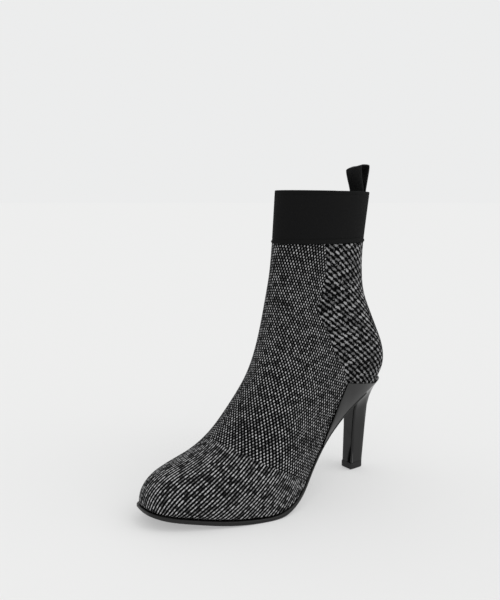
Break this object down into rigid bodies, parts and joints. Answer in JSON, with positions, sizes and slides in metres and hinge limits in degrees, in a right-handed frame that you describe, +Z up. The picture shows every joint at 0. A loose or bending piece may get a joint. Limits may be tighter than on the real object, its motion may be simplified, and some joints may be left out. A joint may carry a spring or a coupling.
{
  "type": "sock boot",
  "caption": "High-heeled sock boot: knitted sock upper with an elastic cuff, back pull loop, glossy squared heel with wings and a thin sole.",
  "frame": {"origin": "bottom centre of the whole boot's bounding box, on the floor that the heel tip and the ball of the sole stand on", "axes": "+Z up, -Y towards the toe, +X towards the outer side of the left foot"},
  "size_m": [0.0814, 0.2336, 0.2697],
  "materials": {
    "knit_upper": "black and white melange knit",
    "elastic_band": "matte finely ribbed elastic",
    "pull_loop": "matte woven webbing",
    "insole": "matte",
    "outsole": "satin",
    "heel": "high gloss",
    "heel_tip": "matte"
  },
  "bodies": {
    "root": {"knit_upper": "knit_upper", "elastic_band": "elastic_band", "pull_loop": "pull_loop", "insole": "insole", "outsole": "outsole", "heel": "heel", "heel_tip": "heel_tip"}
  },
  "joints": []
}
